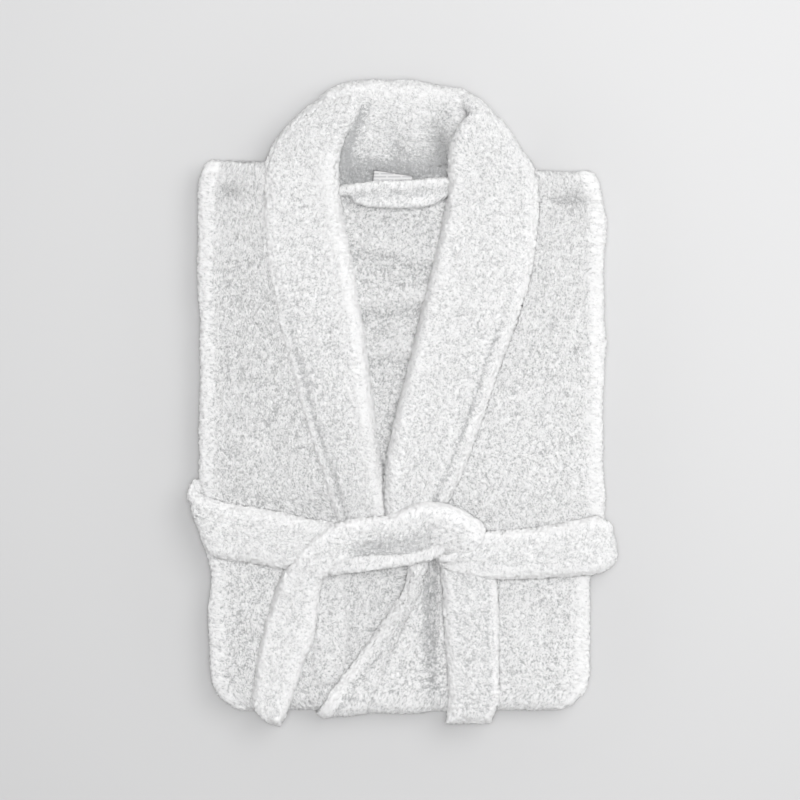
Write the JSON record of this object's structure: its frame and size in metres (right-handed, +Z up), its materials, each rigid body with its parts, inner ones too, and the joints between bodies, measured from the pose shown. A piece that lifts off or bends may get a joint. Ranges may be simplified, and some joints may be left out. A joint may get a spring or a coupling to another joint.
{
  "type": "bathrobe",
  "caption": "Folded white terry bathrobe lying flat, with a shawl collar, a knotted belt, sleeves behind the back and the skirt turned under.",
  "frame": {"origin": "centre of the outline, on the surface that the folded robe lies on", "axes": "+Y from the folded bottom edge towards the collar, +X to the viewer's right with the collar away from the viewer, +Z up, out of the robe's front"},
  "size_m": [0.472, 0.7169, 0.088],
  "materials": {
    "terry": "white cotton terry, long loop pile",
    "collar_terry": "white cotton terry, long loop pile",
    "belt_terry": "white cotton terry, long loop pile",
    "label": "smooth woven polyester tape"
  },
  "bodies": {
    "upper_robe": {"back_panel": "terry", "front_panel_left": "terry", "front_panel_right": "terry", "front_facing_left": "terry", "front_facing_right": "terry", "collar_left": "collar_terry", "collar_right": "collar_terry", "under_collar": "collar_terry", "care_label": "label", "belt_span_left": "belt_terry", "belt_span_right": "belt_terry", "belt_back": "belt_terry", "belt_knot": "belt_terry", "belt_loop_left": "belt_terry", "belt_loop_right": "belt_terry"},
    "lower_robe": {"skirt_back": "terry", "skirt_front_left": "terry", "skirt_front_right": "terry", "skirt_hem": "terry", "pocket_left": "terry", "pocket_right": "terry"},
    "left_sleeve": {"sleeve_left": "terry", "cuff_left": "terry"},
    "right_sleeve": {"sleeve_right": "terry", "cuff_right": "terry"},
    "left_tail": {"belt_tail_left": "belt_terry"},
    "right_tail": {"belt_tail_right": "belt_terry"},
    "hanging_loop": {"hanger_loop": "belt_terry"}
  },
  "joints": [
    {"name": "skirt_unfold", "type": "hinge", "parent": "upper_robe", "child": "lower_robe", "pos_m": [0, -0.338, 0.025], "axis": [-1, 0, 0], "range_deg": [0, 178]},
    {"name": "left_sleeve_unfold", "type": "hinge", "parent": "upper_robe", "child": "left_sleeve", "pos_m": [-0.2225, 0.12, 0.028], "axis": [0, 1, 0], "range_deg": [0, 178]},
    {"name": "right_sleeve_unfold", "type": "hinge", "parent": "upper_robe", "child": "right_sleeve", "pos_m": [0.2225, 0.12, 0.028], "axis": [0, -1, 0], "range_deg": [0, 178]},
    {"name": "left_tail_lift", "type": "hinge", "parent": "upper_robe", "child": "left_tail", "pos_m": [-0.105, -0.19, 0.0565], "axis": [-1, 0, 0], "range_deg": [0, 85]},
    {"name": "right_tail_lift", "type": "hinge", "parent": "upper_robe", "child": "right_tail", "pos_m": [0.076, -0.19, 0.0565], "axis": [-1, 0, 0], "range_deg": [0, 85]},
    {"name": "hanger_loop_lift", "type": "hinge", "parent": "upper_robe", "child": "hanging_loop", "pos_m": [-0.009, 0.2475, 0.044], "axis": [-1, 0, 0], "range_deg": [0, 75]}
  ],
  "couplings": [
    {"joint": "left_sleeve_unfold", "follows": "skirt_unfold", "ratio": 1},
    {"joint": "right_sleeve_unfold", "follows": "skirt_unfold", "ratio": 1}
  ]
}
